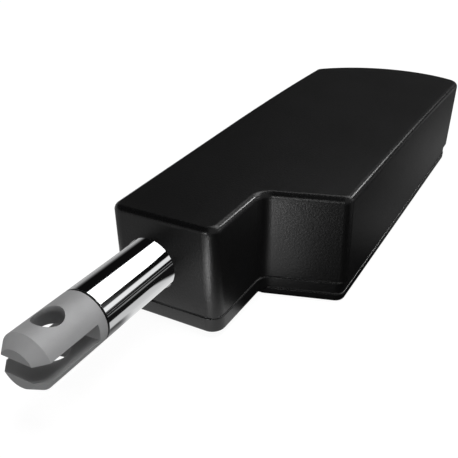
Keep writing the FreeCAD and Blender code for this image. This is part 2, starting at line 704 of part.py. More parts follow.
def make_rear():
    slotted_eye("back_fixture", [
        ("-rear_eye_end", "0"), ("seat_x + seat_gap", "0"),
        ("seat_x + seat_gap", "lock_nut_radius + slide_gap"), ("cup_x", "lock_nut_radius + slide_gap"),
        ("cup_x", "bearing_radius"), ("bearing_x", "bearing_radius"), ("bearing_x", "cup_radius"),
        ("seat_x", "cup_radius"), ("seat_x", "rod_radius"),
        ("eye_chamfer_long - rear_eye_end", "rod_radius"), ("-rear_eye_end", "rod_radius - eye_chamfer_in")],
        "0", "-rear_eye_end - rear_slot_depth", "2 * rear_slot_depth")
    for name, inner, outer in (("bearing_outer_ring", "bearing_radius - ring_wall", "bearing_radius"),
                               ("bearing_inner_ring", "spindle_radius", "spindle_radius + ring_wall")):
        blank = ring(name + "_blank", "cup_x", "bearing_x", inner, outer)
        race = doc.addObject("Part::Torus", name + "_race")
        bind(race, "Radius1", "ball_circle")
        bind(race, "Radius2", "ball_radius + ball_gap")
        race.Placement.Rotation = FreeCAD.Rotation(FreeCAD.Vector(0, 1, 0), 90)
        place(race, "(cup_x + bearing_x) / 2", "0", "0")
        piece(cut(name, blank, [race]), name)
    balls = []
    pockets = []
    for number in range(int(at("ball_count"))):
        turn = f"90 deg + ({number} + 0.5) * 360 deg / ball_count"
        y, z = f"ball_circle * cos({turn})", f"ball_circle * sin({turn})"
        ball = doc.addObject("Part::Sphere", f"ball{number}")
        bind(ball, "Radius", "ball_radius")
        balls.append(place(ball, "(cup_x + bearing_x) / 2", y, z))
        pockets.append(rod_x(f"cage_pocket{number}", "(cup_x + bearing_x) / 2 - ball_radius - ball_gap",
                             y, z, "ball_radius + ball_gap", "2 * (ball_radius + ball_gap)"))
    piece(group("bearing_balls", balls), "bearing_balls")
    cage = ring("cage_blank", "cup_x + cage_wall / 2", "bearing_x - cage_wall / 2",
                "ball_circle - cage_wall / 2", "ball_circle + cage_wall / 2")
    piece(cut("bearing_cage", cage, pockets), "bearing_cage")


def make_spindle():
    piece(turned("spindle", [
        ("cup_x - lock_nut_length", "0"), ("spindle_end_x", "0"),
        ("spindle_end_x", "spindle_radius - spindle_chamfer"),
        ("spindle_end_x - spindle_chamfer", "spindle_radius"), ("gear_x", "spindle_radius"),
        ("gear_x", "collar_radius"), ("bearing_x", "collar_radius"), ("bearing_x", "spindle_radius"),
        ("cup_x", "spindle_radius"),
        ("cup_x", "spindle_tail"), ("cup_x - lock_nut_length", "spindle_tail")]), "spindle")
    piece(ring("bearing_lock_nut", "cup_x - lock_nut_length", "cup_x", "spindle_tail", "lock_nut_radius"),
          "bearing_lock_nut")
    piece(ring("sensor_magnet", "magnet_ring_x", "magnet_ring_x + magnet_ring_width", "spindle_radius",
               "spindle_radius + magnet_ring_wall"), "sensor_magnet")


# Gears
PRESSURE = math.radians(20.0)
ADDENDUM = 0.8
DEDENDUM = 1.1
FLANK_POINTS = 3


def gear_face(module, teeth, backlash, phase):
    """A stub-toothed involute gear as a face in the YZ plane, with one tooth centred on the phase angle."""
    pitch = module * teeth / 2
    base = pitch * math.cos(PRESSURE)
    tip, root = pitch + ADDENDUM * module, pitch - DEDENDUM * module
    half_pitch = (math.pi * module / 2 - backlash / 2) / (2 * pitch)
    involute = math.tan(PRESSURE) - PRESSURE

    def half_angle(radius):
        if radius <= base:
            return half_pitch + involute
        angle = math.acos(base / radius)
        return half_pitch + involute - (math.tan(angle) - angle)

    def spot(radius, angle):
        return FreeCAD.Vector(0, radius * math.cos(angle), radius * math.sin(angle))

    low = max(base, root)
    radii = [low + (tip - low) * k / (FLANK_POINTS - 1) for k in range(FLANK_POINTS)]
    edges = []
    step = math.tau / teeth
    for tooth in range(teeth):
        centre = phase + tooth * step
        up = [spot(r, centre - half_angle(r)) for r in radii]
        down = [spot(r, centre + half_angle(r)) for r in reversed(radii)]
        foot_in = spot(root, centre - half_angle(low))
        foot_out = spot(root, centre + half_angle(low))
        next_foot = spot(root, centre + step - half_angle(low))
        if root < low:
            edges.append(Part.makeLine(foot_in, up[0]))
        edges.append(Part.Arc(*up).toShape())
        edges.append(Part.Arc(up[-1], spot(tip, centre), down[0]).toShape())
        edges.append(Part.Arc(*down).toShape())
        if root < low:
            edges.append(Part.makeLine(down[-1], foot_out))
        edges.append(Part.Arc(foot_out, spot(root, centre + step / 2), next_foot).toShape())
    return Part.Face(Part.Wire(edges))


def gear_solid(module, teeth, phase, x, width):
    face = gear_face(module, int(teeth), at("backlash"), phase)
    face.translate(FreeCAD.Vector(x, 0, 0))
    return face.extrude(FreeCAD.Vector(width, 0, 0))


def round_bar(x, radius, length):
    return Part.makeCylinder(radius, length, FreeCAD.Vector(x, 0, 0), FreeCAD.Vector(1, 0, 0))


def gear_piece(label, shape, y, z):
    thing = doc.addObject("Part::Feature", label)
    thing.Shape = shape
    thing.Placement = FreeCAD.Placement(FreeCAD.Vector(0, y, z), FreeCAD.Rotation())
    return piece(thing, label)


def make_gears():
    slow, fast = at("module_slow"), at("module_fast")
    iy, iz = at("idler_y"), at("idler_z")
    my, mz = at("motor_y"), -at("motor_z")
    to_idler = math.atan2(iz, iy)
    idler_to_motor = math.atan2(mz - iz, my - iy)
    small, big = int(at("teeth_idler_small")), int(at("teeth_idler_big"))
    width, fast_width, gap = at("gear_width"), at("fast_width"), at("gear_gap")
    gear_x, fast_x = at("gear_x"), at("fast_x")

    wheel = gear_solid(slow, at("teeth_spindle"), to_idler, gear_x, width)
    bore = round_bar(gear_x - gap, at("spindle_radius"), width + 2 * gap)
    gear_piece("spindle_gear", wheel.cut(bore), 0, 0)

    small_phase = to_idler + math.pi + math.pi / small
    big_phase = idler_to_motor
    pair = gear_solid(slow, small, small_phase, gear_x, fast_x - gear_x)
    pair = pair.fuse(gear_solid(fast, big, big_phase, fast_x, fast_width))
    bore = round_bar(gear_x - gap, at("idler_pin_radius") + at("running_gap"), width + fast_width + 4 * gap)
    gear_piece("idler_gear", pair.cut(bore), iy, iz)

    pinion_teeth = int(at("teeth_pinion"))
    pinion_phase = idler_to_motor + math.pi + math.pi / pinion_teeth
    pinion = gear_solid(fast, pinion_teeth, pinion_phase, fast_x, fast_width)
    bore = round_bar(fast_x - gap, at("shaft_radius"), fast_width + 2 * gap)
    gear_piece("motor_pinion", pinion.cut(bore), my, mz)


def make_gear_plate():
    hub = rod_x("plate_hub", "plate_x", "0", "0", "tube_radius + plate_margin", "plate_thick")
    motor = rod_x("plate_motor", "plate_x", "motor_y", "-motor_z", "motor_radius - plate_margin",
                  "plate_thick")
    web = box("plate_web", "plate_x", "0", "-tube_radius + wall", "plate_thick", "motor_y",
              "2 * (tube_radius - wall)")
    foot = box("plate_foot", "plate_x", "tube_radius / 2", "floor_z + seat_gap", "plate_thick",
               "motor_y - tube_radius", "-floor_z")
    holes = [rod_x("plate_spindle_hole", "plate_x - wall", "0", "0", "collar_radius",
                   "plate_thick + 2 * wall"),
             rod_x("plate_motor_hole", "plate_x - wall", "motor_y", "-motor_z",
                   "bush_radius + seat_gap", "plate_thick + 2 * wall"),
             rod_x("plate_pin_hole", "plate_x - wall", "idler_y", "idler_z", "idler_pin_radius",
                   "plate_thick + 2 * wall")]
    for number, side in enumerate((1, -1)):
        holes.append(rod_x(f"plate_screw_hole{number}", "plate_x - wall", "motor_y",
                           f"-motor_z + {side} * motor_screw_circle", "screw_radius",
                           "plate_thick + 2 * wall"))
    piece(cut("gear_plate", fuse("plate_blank", [hub, motor, web, foot]), holes), "gear_plate")
    pin = turned("idler_pin", [
        ("gear_x - gear_gap - slide_gap", "0"), ("motor_x", "0"), ("motor_x", "idler_pin_radius"),
        ("gear_x - slide_gap", "idler_pin_radius"), ("gear_x - slide_gap", "idler_pin_head"),
        ("gear_x - gear_gap - slide_gap", "idler_pin_head")])
    piece(moved(pin, "idler_y", "idler_z"), "idler_pin")


# Motor
def on_motor(thing):
    return moved(thing, "motor_y", "-motor_z")


def make_motor():
    can = turned("motor_can", [
        ("motor_x", "bush_radius"), ("motor_x + can_wall", "bush_radius"),
        ("motor_x + can_wall", "magnet_out"), ("cap_x", "magnet_out"), ("cap_x", "motor_radius"),
        ("motor_x", "motor_radius")])
    piece(on_motor(can), "motor_can")
    cap = turned("motor_end_cap", [
        ("cap_x", "magnet_out"), ("cap_x", "motor_radius"), ("motor_end_x - wall", "motor_radius"),
        ("motor_end_x", "motor_radius - wall"), ("motor_end_x", "bush_radius"),
        ("motor_end_x - bush_length", "bush_radius"),
        ("motor_end_x - bush_length", "bush_radius + can_wall"),
        ("motor_end_x - wall", "bush_radius + can_wall"), ("motor_end_x - wall", "magnet_out")])
    piece(on_motor(cap), "motor_end_cap")
    bushes = [on_motor(ring("front_bush", "motor_x", "motor_x + bush_length", "shaft_radius + running_gap",
                            "bush_radius")),
              on_motor(ring("rear_bush", "motor_end_x - bush_length", "motor_end_x",
                            "shaft_radius + running_gap", "bush_radius"))]
    piece(group("motor_bushes", bushes), "motor_bushes")
    magnets = []
    for number in range(2):
        magnet = ring(f"magnet{number}", "magnet_x", "magnet_x + magnet_length", "magnet_in", "magnet_out")
        magnet.Tip.Midplane = True
        bind(magnet.Tip, "Angle", "magnet_arc * 1 deg")
        magnet.Placement.Rotation = FreeCAD.Rotation(FreeCAD.Vector(1, 0, 0), 180 * number)
        magnets.append(on_motor(magnet))
    piece(group("motor_magnets", magnets), "motor_magnets")
    holders = []
    for number, start in enumerate(("motor_y + brush_in", "motor_y - brush_out")):
        holders.append(box(f"brush_holder{number}", "cap_x", start, "-motor_z - brush_width / 2",
                           "brush_width", "brush_out - brush_in", "brush_width"))
    piece(group("brush_holders", holders), "brush_holders")


def make_armature():
    shaft = turned("motor_shaft", [
        ("fast_x - gear_gap / 2", "0"), ("motor_end_x + slide_gap", "0"),
        ("motor_end_x + slide_gap", "shaft_radius"), ("fast_x - gear_gap / 2", "shaft_radius")])
    piece(on_motor(shaft), "motor_shaft")
    core = ring("core_blank", "core_x", "core_x + core_length", "shaft_radius", "core_radius")
    slots = []
    for number in range(int(at("core_slots"))):
        slot = box(f"core_slot{number}", "core_x - wall", "slot_bottom", "-slot_mouth / 2",
                   "core_length + 2 * wall", "core_radius", "slot_mouth")
        turn = FreeCAD.Rotation(FreeCAD.Vector(1, 0, 0), 360.0 * number / at("core_slots"))
        slots.append(spun(slot, turn))
    piece(on_motor(cut("armature_core", core, slots)), "armature_core")
    ends = [on_motor(ring("front_winding", "core_x - winding_length", "core_x", "winding_inner",
                          "winding_outer")),
            on_motor(ring("rear_winding", "core_x + core_length", "commutator_x", "winding_inner",
                          "winding_outer"))]
    piece(group("armature_winding", ends), "armature_winding")
    piece(on_motor(ring("commutator", "commutator_x", "commutator_end_x", "shaft_radius",
                        "commutator_radius")), "commutator")
    screws = []
    for number, side in enumerate((1, -1)):
        screw = turned(f"motor_screw{number}", [
            ("plate_x - screw_head_height", "0"), ("motor_x", "0"), ("motor_x", "screw_radius"),
            ("plate_x", "screw_radius"), ("plate_x", "motor_screw_head"),
            ("plate_x - screw_head_height", "motor_screw_head")])
        screws.append(moved(screw, "motor_y", f"-motor_z + {side} * motor_screw_circle"))
    piece(group("motor_screws", screws), "motor_screws")


def spun(thing, turn):
    """A copy of a box turned about the rod axis."""
    copy = doc.addObject("Part::Compound", thing.Name + "_spun")
    copy.Links = [thing]
    copy.Placement = FreeCAD.Placement(FreeCAD.Vector(), turn)
    return copy


# Electrics
def make_electrics():
    body = turned("power_socket", [
        ("socket_x", "socket_radius - socket_wall"),
        ("socket_x + socket_depth", "socket_radius - socket_wall"),
        ("socket_x + socket_depth", "0"), ("socket_x + socket_length", "0"),
        ("socket_x + socket_length", "socket_radius"), ("socket_x", "socket_radius")])
    piece(moved(body, "socket_y", "0"), "power_socket")
    contacts = []
    for number in range(int(at("contact_count"))):
        turn = f"({number} + 0.5) * 360 deg / contact_count"
        y, z = f"socket_y + contact_circle * cos({turn})", f"contact_circle * sin({turn})"
        contacts.append(rod_x(f"contact{number}", "socket_x + wall", y, z, "contact_radius",
                              "socket_depth - wall"))
    piece(group("socket_contacts", contacts), "socket_contacts")
    piece(box("control_board", "board_x", "board_y", "-seam_z", "board_length", "board_width",
              "board_thick"), "control_board")
    board = box("sensor_strip", "plate_x - board_thick", "-sensor_size * 2", "spindle_radius + sensor_size",
                "board_thick", "sensor_size * 4", "sensor_size")
    chip = box("sensor_chip", "plate_x - 2 * board_thick", "-sensor_size / 2",
               "spindle_radius + sensor_size", "board_thick", "sensor_size", "sensor_size")
    piece(fuse("sensor_board", [board, chip]), "sensor_board")


make_upper_housing()
make_lower_cover()
make_base_plate()
make_cover_screws()
make_rod()
make_nose()
make_rear()
make_spindle()
make_gears()
make_gear_plate()
make_motor()
make_armature()
make_electrics()
doc.recompute()

# Check everything before any file is written
for thing in doc.Objects:
    if "Invalid" in thing.State or "Error" in thing.State:
        raise RuntimeError(f"{thing.Label} failed: {thing.State}")
for thing in PIECES:
    if thing.Shape.isNull() or not thing.Shape.isValid() or thing.Shape.Volume <= 0:
        raise RuntimeError(f"{thing.Label} has no valid shape")

os.makedirs("parts", exist_ok=True)
for thing in PIECES:
    thing.Shape.exportStep(f"parts/{thing.Label}.step")
    print(f"{thing.Label}: {len(thing.Shape.Solids)} solids, {thing.Shape.Volume:.0f} mm3")
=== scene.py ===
"""Looks of the electric linear actuator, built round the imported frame. All lengths are metres."""
import json
import math

import bmesh
import bpy
from mathutils import Euler, Matrix, Vector


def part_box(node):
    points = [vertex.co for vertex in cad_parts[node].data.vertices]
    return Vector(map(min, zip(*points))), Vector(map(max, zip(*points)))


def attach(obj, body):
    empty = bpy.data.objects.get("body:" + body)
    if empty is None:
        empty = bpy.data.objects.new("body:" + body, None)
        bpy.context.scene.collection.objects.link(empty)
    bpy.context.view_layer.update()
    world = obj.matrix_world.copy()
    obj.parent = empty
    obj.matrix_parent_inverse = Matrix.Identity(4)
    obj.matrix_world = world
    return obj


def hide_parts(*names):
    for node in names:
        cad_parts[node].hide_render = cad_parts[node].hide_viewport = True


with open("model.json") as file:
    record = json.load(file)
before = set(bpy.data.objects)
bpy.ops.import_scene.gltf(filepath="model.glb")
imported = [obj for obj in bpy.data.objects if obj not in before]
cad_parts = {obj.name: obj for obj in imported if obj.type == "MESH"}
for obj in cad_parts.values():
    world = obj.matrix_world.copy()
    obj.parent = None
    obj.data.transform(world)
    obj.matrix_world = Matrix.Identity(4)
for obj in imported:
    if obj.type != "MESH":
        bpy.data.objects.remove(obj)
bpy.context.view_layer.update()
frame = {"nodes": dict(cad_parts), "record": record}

nodes = frame["nodes"]
slot_of = {part["node"]: part["material_slot"] for part in frame["record"]["subparts"]}
MM = 0.001

# Places read from the frame
rod_low, rod_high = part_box("piston_tube")
ROD_RADIUS = rod_high.z
FLOOR_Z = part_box("base_plate")[0].z


# Shader maths
class Signal:
    """A node's output. Arithmetic on it adds Math nodes to its tree."""

    def __init__(self, tree, socket):
        self.tree = tree
        self.socket = socket

    def math(self, operation, first, second):
        return self.tree.node("ShaderNodeMath", {"operation": operation}, {0: first, 1: second})

    def __add__(self, other):
        return self.math("ADD", self, other)

    __radd__ = __add__

    def __mul__(self, other):
        return self.math("MULTIPLY", self, other)

    __rmul__ = __mul__

    def __sub__(self, other):
        return self.math("SUBTRACT", self, other)

    def __rsub__(self, other):
        return self.math("SUBTRACT", other, self)

    def __truediv__(self, other):
        return self.math("DIVIDE", self, other)

    def between(self, low, high):
        """0 below low, 1 above high, smooth between."""
        return self.tree.node("ShaderNodeMapRange", {"interpolation_type": "SMOOTHSTEP"}, {
            "Value": self, "From Min": low, "From Max": high})

    def within(self, rise, fall):
        """Goes from 0 to 1 over the rise and back to 0 over the fall."""
        return self.between(*rise) * (1 - self.between(*fall))


class Tree:
    """The node tree of a material or of the world."""

    def __init__(self, owner):
        owner.use_nodes = True
        self.tree = owner.node_tree
        self.tree.nodes.clear()

    def node(self, kind, settings=None, sockets=None, out=0):
        """Adds a node: first its settings, then the values or links of its sockets. Gives one output."""
        node = self.tree.nodes.new(kind)
        for name, value in (settings or {}).items():
            setattr(node, name, value)
        for name, value in (sockets or {}).items():
            if isinstance(value, Signal):
                self.tree.links.new(value.socket, node.inputs[name])
            else:
                node.inputs[name].default_value = value
        outputs = [s for s in node.outputs if s.enabled]
        if not outputs:
            return None
        return Signal(self, node.outputs[out] if isinstance(out, str) else outputs[out])

    def noise(self, point, size, detail=2.0, roughness=0.5):
        """Noise from 0 to 1 with features of about the given size."""
        return self.node("ShaderNodeTexNoise", None, {
            "Vector": point, "Scale": 1 / size, "Detail": detail, "Roughness": roughness})

    def stretched(self, point, scale):
        """The point scaled, so that a noise on it is drawn out where the scale is small."""
        return self.node("ShaderNodeMapping", None, {"Vector": point, "Scale": scale})

    def mix(self, factor, first, second):
        """Mixes two colours."""
        return self.node("ShaderNodeMix", {"data_type": "RGBA"}, {
            "Factor": factor, "A": (*first, 1), "B": (*second, 1)}, out="Result")


def bump(tree, height, distance, strength=1.0):
    """A normal for a relief of this height pattern and depth."""
    return tree.node("ShaderNodeBump", None, {"Height": height, "Distance": distance, "Strength": strength})


def finish(name, paint):
    """A material: paint() gets its tree and the point on the piece and gives the shader's sockets."""
    material = bpy.data.materials.new(name)
    tree = Tree(material)
    point = tree.node("ShaderNodeTexCoord", out="Object")
    surface = tree.node("ShaderNodeBsdfPrincipled", None, paint(tree, point))
    tree.node("ShaderNodeOutputMaterial", None, {"Surface": surface})
    return material


# Finishes, with the sizes and depths of their grain
PLASTIC_GRAIN = 0.75 * MM
PLASTIC_CLOUD = 30 * MM
PLASTIC_DEPTH = 0.08 * MM
CHROME_LINE = 0.12 * MM
CHROME_MARK = 0.8 * MM
CHROME_DEPTH = 0.001 * MM
TUMBLED_GRAIN = 0.35 * MM
TUMBLED_PATCH = 5 * MM
TUMBLED_DEPTH = 0.03 * MM
RUBBER_GRAIN = 0.3 * MM
RUBBER_DEPTH = 0.02 * MM
METAL_GRAIN = 0.4 * MM
METAL_PATCH = 6 * MM
FLOW_SIZE = 4 * MM
FLOW_GRAIN = 0.3 * MM
FINE_DEPTH = 0.01 * MM

# How far a face looks up where a rounded top edge starts and ends
EDGE_RISE = (0.15, 0.35)
EDGE_FALL = (0.93, 0.99)


def grained_plastic(tree, point):
    """Black moulded plastic with an etched grain, smoother on the rounded top edges that hands polish."""
    grain = tree.noise(point, PLASTIC_GRAIN, 2.0, 0.6)
    cloud = tree.noise(point, PLASTIC_CLOUD, 3.0)
    normal = tree.node("ShaderNodeTexCoord", out="Normal")
    upward = tree.node("ShaderNodeSeparateXYZ", None, {"Vector": normal}, out="Z")
    edge = upward.within(EDGE_RISE, EDGE_FALL)
    return {"Base Color": tree.mix(cloud, (0.0024, 0.0024, 0.0025), (0.0036, 0.0036, 0.0038)),
            "Roughness": 0.31 + 0.05 * cloud + 0.08 * grain - 0.1 * edge,
            "Normal": bump(tree, grain * (1 - 0.9 * edge), PLASTIC_DEPTH)}


def hard_chrome(tree, point):
    """Polished hard chrome with faint lines round the rod and light wiper marks along it."""
    rings = tree.noise(tree.stretched(point, (1.0, 0.02, 0.02)), CHROME_LINE, 2.0)
    marks = tree.noise(tree.stretched(point, (0.04, 1.0, 1.0)), CHROME_MARK, 3.0)
    return {"Base Color": tree.mix(marks, (0.55, 0.555, 0.56), (0.62, 0.625, 0.63)),
            "Metallic": 1.0,
            "Roughness": 0.03 + 0.03 * rings + 0.03 * marks,
            "Normal": bump(tree, rings, CHROME_DEPTH, 0.4)}


def tumbled_steel(tree, point):
    """Matte grey steel, tumbled after machining."""
    fine = tree.noise(point, TUMBLED_GRAIN, 3.0, 0.6)
    patch = tree.noise(point, TUMBLED_PATCH, 3.0)
    return {"Base Color": tree.mix(patch, (0.29, 0.29, 0.293), (0.36, 0.36, 0.364)),
            "Metallic": 0.3,
            "Roughness": 0.5 + 0.1 * fine + 0.06 * patch,
            "Normal": bump(tree, fine, TUMBLED_DEPTH, 0.6)}


def soft_rubber(tree, point):
    """Dull black rubber of the wiper."""
    fine = tree.noise(point, RUBBER_GRAIN, 2.0)
    return {"Base Color": tree.mix(fine, (0.008, 0.008, 0.008), (0.016, 0.016, 0.016)),
            "Roughness": 0.6 + 0.2 * fine,
            "Normal": bump(tree, fine, RUBBER_DEPTH)}


def metal(dark, light, low, high, along=(1.0, 1.0, 1.0)):
    """A bare metal whose gloss varies with its grain and whose colour varies in patches."""
    def paint(tree, point):
        fine = tree.noise(tree.stretched(point, along), METAL_GRAIN, 3.0)
        patch = tree.noise(point, METAL_PATCH, 2.0)
        return {"Base Color": tree.mix(patch, dark, light),
                "Metallic": 1.0,
                "Roughness": low + (high - low) * fine,
                "Normal": bump(tree, fine, FINE_DEPTH, 0.5)}
    return paint


def plastic(dark, light, low, high):
    """A plain moulded plastic or lacquer with a faint flow pattern."""
    def paint(tree, point):
        flow = tree.noise(point, FLOW_SIZE, 3.0)
        fine = tree.noise(point, FLOW_GRAIN, 2.0)
        return {"Base Color": tree.mix(flow, dark, light),
                "Roughness": low + (high - low) * flow,
                "Normal": bump(tree, fine, FINE_DEPTH, 0.5)}
    return paint


FINISHES = {
    "housing_plastic": finish("housing_plastic", grained_plastic),
    "cover_plastic": finish("cover_plastic", grained_plastic),
    "chrome": finish("hard_chrome", hard_chrome),
    "eye_metal": finish("tumbled_steel", tumbled_steel),
    "rubber": finish("soft_rubber", soft_rubber),
    "steel": finish("ground_steel", metal((0.5, 0.5, 0.51), (0.6, 0.6, 0.61), 0.2, 0.34)),
    "zinc_steel": finish("zinc_steel", metal((0.56, 0.56, 0.54), (0.66, 0.66, 0.63), 0.26, 0.4)),
    "aluminium": finish("drawn_aluminium", metal((0.68, 0.68, 0.69), (0.78, 0.78, 0.79), 0.25, 0.42,
                                                 along=(0.05, 1.0, 1.0))),
    "white_nylon": finish("white_nylon", plastic((0.72, 0.71, 0.66), (0.8, 0.79, 0.74), 0.35, 0.5)),
    "black_nylon": finish("black_nylon", plastic((0.012, 0.012, 0.012), (0.02, 0.02, 0.02), 0.38, 0.52)),
    "bronze": finish("sintered_bronze", metal((0.5, 0.34, 0.16), (0.62, 0.44, 0.22), 0.35, 0.55)),
    "copper": finish("enamelled_copper", metal((0.6, 0.27, 0.12), (0.75, 0.36, 0.18), 0.2, 0.35)),
    "contact_brass": finish("plated_brass", metal((0.72, 0.57, 0.26), (0.82, 0.68, 0.34), 0.2, 0.32)),
    "ferrite": finish("ferrite", plastic((0.03, 0.03, 0.033), (0.05, 0.05, 0.053), 0.5, 0.7)),
    "board": finish("solder_resist", plastic((0.01, 0.08, 0.03), (0.02, 0.12, 0.045), 0.3, 0.42)),
}
# Only these show in mirrors, so that the rod's bands run clean into the nose
MIRRORED = ("chrome", "eye_metal")
for name, node in nodes.items():
    node.data.materials.clear()
    node.data.materials.append(FINISHES[slot_of[name]])
    node.visible_glossy = slot_of[name] in MIRRORED


# Making pieces
MERGE_GAP = 0.001 * MM
SHARP_ANGLE = math.radians(35)
FLAT_ANGLE = math.radians(0.5)
EASE_ANGLE = math.radians(28)
EASE_STEPS = 3


def new_piece(name, mesh, body, slot, stands_for=None):
    """A finished piece that moves with a body. It has a slot's finish and may stand for a CAD node."""
    piece = bpy.data.objects.new(name, mesh)
    bpy.context.scene.collection.objects.link(piece)
    mesh.materials.clear()
    mesh.materials.append(FINISHES[slot])
    piece.visible_glossy = slot in MIRRORED
    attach(piece, body)
    if stands_for:
        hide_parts(stands_for)


def plain_mesh(thing):
    """The evaluated mesh of an object, which is then removed."""
    bpy.context.scene.collection.objects.link(thing)
    depsgraph = bpy.context.evaluated_depsgraph_get()
    mesh = bpy.data.meshes.new_from_object(thing.evaluated_get(depsgraph))
    bpy.data.objects.remove(thing)
    return mesh


def to_mesh(name, shape):
    """Makes a smooth-shaded mesh of a bmesh, sharp only where two faces meet at a clear angle."""
    mesh = bpy.data.meshes.new(name)
    shape.to_mesh(mesh)
    shape.free()
    mesh.shade_smooth()
    mesh.set_sharp_from_angle(angle=SHARP_ANGLE)
    return mesh


def merged_copy(name):
    """A node's mesh as one connected bmesh."""
    shape = bmesh.new()
    shape.from_mesh(nodes[name].data)
    bmesh.ops.remove_doubles(shape, verts=shape.verts, dist=MERGE_GAP)
    return shape


def eased(name, width):
    """A copy of a node's mesh with its sharp edges rounded off, as tumbling or a mould leaves them."""
    shape = merged_copy(name)
    bmesh.ops.dissolve_limit(shape, angle_limit=FLAT_ANGLE, verts=shape.verts, edges=shape.edges)
    mesh = to_mesh(name, shape)
    if "custom_normal" in mesh.attributes:
        mesh.attributes.remove(mesh.attributes["custom_normal"])
    thing = bpy.data.objects.new(name, mesh)
    ease = thing.modifiers.new("ease", "BEVEL")
    ease.limit_method = "ANGLE"
    ease.angle_limit = EASE_ANGLE
    ease.width = width
    ease.segments = EASE_STEPS
    ease.harden_normals = True
    return plain_mesh(thing)


def turned(name, outline, around):
    """A closed outline of (x, radius) points, spun about the rod axis."""
    shape = bmesh.new()
    turns = [2 * math.pi * step / around for step in range(around)]
    rings = [[shape.verts.new((x, radius * math.cos(turn), radius * math.sin(turn))) for turn in turns]
             for x, radius in outline]
    join_rings(shape, rings + rings[:1])
    return to_mesh(name, shape)


def join_rings(shape, rings):
    """Quads between neighbouring rings, facing outwards once the whole is closed."""
    for first, second in zip(rings, rings[1:]):
        for step in range(len(first)):
            after = (step + 1) % len(first)
            shape.faces.new((first[step], first[after], second[after], second[step]))
    bmesh.ops.recalc_face_normals(shape, faces=shape.faces)


def joined(name, *meshes):
    """One mesh of several."""
    shape = bmesh.new()
    for mesh in meshes:
        shape.from_mesh(mesh)
    return to_mesh(name, shape)


class PieceTree(Tree):
    """A Geometry Nodes tree with named inputs, its material among them."""

    def __init__(self, name, inputs):
        self.tree = bpy.data.node_groups.new(name, "GeometryNodeTree")
        sockets = self.tree.interface
        sockets.new_socket("Geometry", in_out="OUTPUT", socket_type="NodeSocketGeometry")
        self.keys = {}
        for label, kind in {**inputs, "Material": "Material"}.items():
            socket = sockets.new_socket(label, in_out="INPUT", socket_type="NodeSocket" + kind)
            self.keys[label] = socket.identifier
        self.source = self.tree.nodes.new("NodeGroupInput")

    def given(self, label):
        return Signal(self, self.source.outputs[label])

    def end(self, shape):
        """Realizes and paints the shape and makes it the tree's result."""
        shape = self.node("GeometryNodeRealizeInstances", None, {"Geometry": shape})
        sockets = {"Geometry": shape, "Material": self.given("Material")}
        shape = self.node("GeometryNodeSetMaterial", None, sockets)
        self.node("NodeGroupOutput", None, {"Geometry": shape})

    def run(self, mesh, values):
        """Runs the tree on a mesh with these inputs and gives the result as a plain mesh."""
        thing = bpy.data.objects.new("base", mesh)
        modifier = thing.modifiers.new("shape", "NODES")
        modifier.node_group = self.tree
        for label, value in values.items():
            modifier[self.keys[label]] = value
        return plain_mesh(thing)


# A thread's flank and its run-out at both ends, as shares of the lead
FLANK = (0.12, 0.3)
RUN_OUT = (0.0, 0.6)


def make_thread_tree():
    """A threaded rod on the Z axis, from z = 0 up."""
    tree = PieceTree("threaded_rod", {
        "Length": "Float", "Lead": "Float", "Core": "Float", "Crest": "Float",
        "Around": "Int", "Along": "Int"})
    length, lead = tree.given("Length"), tree.given("Lead")
    core, crest = tree.given("Core"), tree.given("Crest")
    rod = tree.node("GeometryNodeMeshCylinder", {"fill_type": "NGON"}, {
        "Vertices": tree.given("Around"), "Side Segments": tree.given("Along"),
        "Radius": 1.0, "Depth": length}, out="Mesh")
    place = tree.node("GeometryNodeInputPosition")
    x, y, z = [tree.node("ShaderNodeSeparateXYZ", None, {"Vector": place}, out=axis) for axis in "XYZ"]
    height = z + length * 0.5
    turn = y.math("ARCTAN2", y, x) * (0.5 / math.pi)
    phase = height.math("FRACT", height / lead - turn + 1, 0)
    ridge = 1 - phase.math("ABSOLUTE", phase - 0.5, 0).between(*FLANK)
    run_out = (height / lead).between(*RUN_OUT) * ((length - height) / lead).between(*RUN_OUT)
    radius = core + (crest - core) * ridge * run_out
    moved = tree.node("ShaderNodeCombineXYZ", None, {"X": x * radius, "Y": y * radius, "Z": height})
    tree.end(tree.node("GeometryNodeSetPosition", None, {"Geometry": rod, "Position": moved}))
    return tree


def make_copies_tree():
    """A copy of an object at every point, each at a turn of its own up to the greatest turn."""
    tree = PieceTree("copies_at_points", {
        "Points": "Geometry", "Original": "Object", "Greatest Turn": "Float", "Seed": "Int"})
    turn = tree.node("FunctionNodeRandomValue", {"data_type": "FLOAT"}, {
        "Max": tree.given("Greatest Turn"), "Seed": tree.given("Seed")}, out="Value")
    turns = tree.node("ShaderNodeCombineXYZ", None, {"Z": turn})
    original = tree.node("GeometryNodeObjectInfo", None, {"Object": tree.given("Original")}, out="Geometry")
    tree.end(tree.node("GeometryNodeInstanceOnPoints", None, {
        "Points": tree.given("Points"), "Instance": original, "Rotation": turns}))
    return tree


THREAD_TREE = make_thread_tree()
COPIES_TREE = make_copies_tree()
AXIS_Z_TO_X = Matrix.Rotation(math.pi / 2, 4, "Y")


def threaded_rod(slot, length, lead, core, crest, around, rings_per_lead):
    """A threaded rod of a slot's finish, from z = 0 up."""
    return THREAD_TREE.run(bpy.data.meshes.new("blank"), {
        "Length": length, "Lead": lead, "Core": core, "Crest": crest, "Around": around,
        "Along": round(length / lead * rings_per_lead), "Material": FINISHES[slot]})


